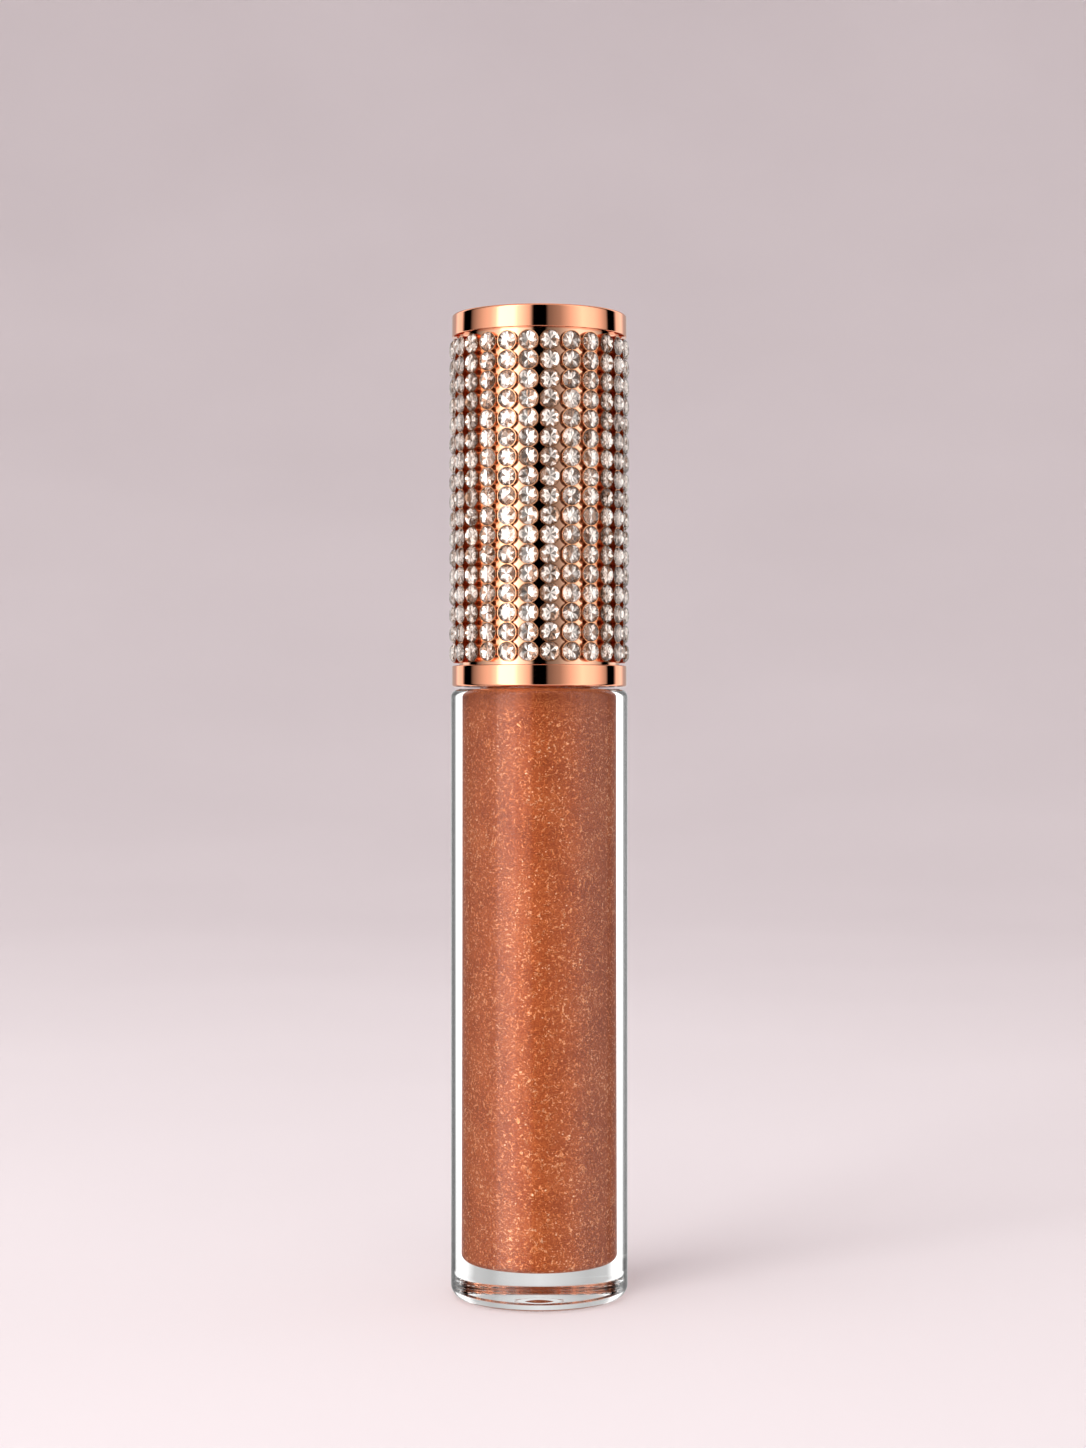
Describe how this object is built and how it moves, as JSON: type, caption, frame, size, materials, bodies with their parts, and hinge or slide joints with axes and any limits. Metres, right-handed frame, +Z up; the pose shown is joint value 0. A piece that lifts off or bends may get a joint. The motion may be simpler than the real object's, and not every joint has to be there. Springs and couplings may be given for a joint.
{
  "type": "lip gloss tube",
  "caption": "Clear thick-walled lip gloss bottle with a jewelled rose-gold screw cap that carries the wand and a flocked applicator.",
  "frame": {"origin": "centre of the bottle's base, on the surface it stands on", "axes": "+Z up along the common axis of the bottle and cap, -Y towards the front; columns of stones sit evenly to each side of the front"},
  "size_m": [0.0194, 0.0194, 0.1053],
  "materials": {
    "clear_glass": "polished clear",
    "shimmer_gloss": "copper pearl liquid",
    "wiper_plastic": "natural soft plastic",
    "gasket_foam": "closed-cell foam",
    "weight_steel": "zinc plated",
    "rose_gold_shell": "mirror rose gold",
    "rose_gold_setting": "rose gold plated",
    "crystal": "faceted, foil backed",
    "liner_plastic": "moulded white",
    "wand_plastic": "natural translucent",
    "applicator_flock": "short nylon flock"
  },
  "bodies": {
    "bottle": {"bottle": "clear_glass", "gloss_fill": "shimmer_gloss", "wiper": "wiper_plastic"},
    "gasket": {"gasket": "gasket_foam"},
    "weight": {"weight": "weight_steel"},
    "cap": {"cap_tube": "rose_gold_shell", "bottom_ring": "rose_gold_shell", "top_cap": "rose_gold_shell", "inner_cap": "liner_plastic", "wand": "wand_plastic", "applicator": "applicator_flock", "setting_strips": "rose_gold_setting", "crystals_01": "crystal", "crystals_02": "crystal", "crystals_03": "crystal", "crystals_04": "crystal", "crystals_05": "crystal", "crystals_06": "crystal", "crystals_07": "crystal", "crystals_08": "crystal", "crystals_09": "crystal", "crystals_10": "crystal", "crystals_11": "crystal", "crystals_12": "crystal", "crystals_13": "crystal", "crystals_14": "crystal", "crystals_15": "crystal", "crystals_16": "crystal", "crystals_17": "crystal", "crystals_18": "crystal", "crystals_19": "crystal", "crystals_20": "crystal", "crystals_21": "crystal", "crystals_22": "crystal", "crystals_23": "crystal", "crystals_24": "crystal", "crystals_25": "crystal"}
  },
  "joints": [
    {"name": "cap_pull", "type": "slide", "parent": "bottle", "child": "gasket", "axis": [0, 0, 1], "range_m": [0, 0.075]},
    {"name": "cap_rise", "type": "slide", "parent": "gasket", "child": "weight", "axis": [0, 0, 1], "range_m": [0, 0.0036]},
    {"name": "cap_turn", "type": "hinge", "parent": "weight", "child": "cap", "pos_m": [0, 0, 0.07], "axis": [0, 0, 1], "range_deg": [0, 540]}
  ],
  "couplings": [
    {"joint": "cap_rise", "follows": "cap_turn", "m_per_rad": 0.00038197}
  ]
}
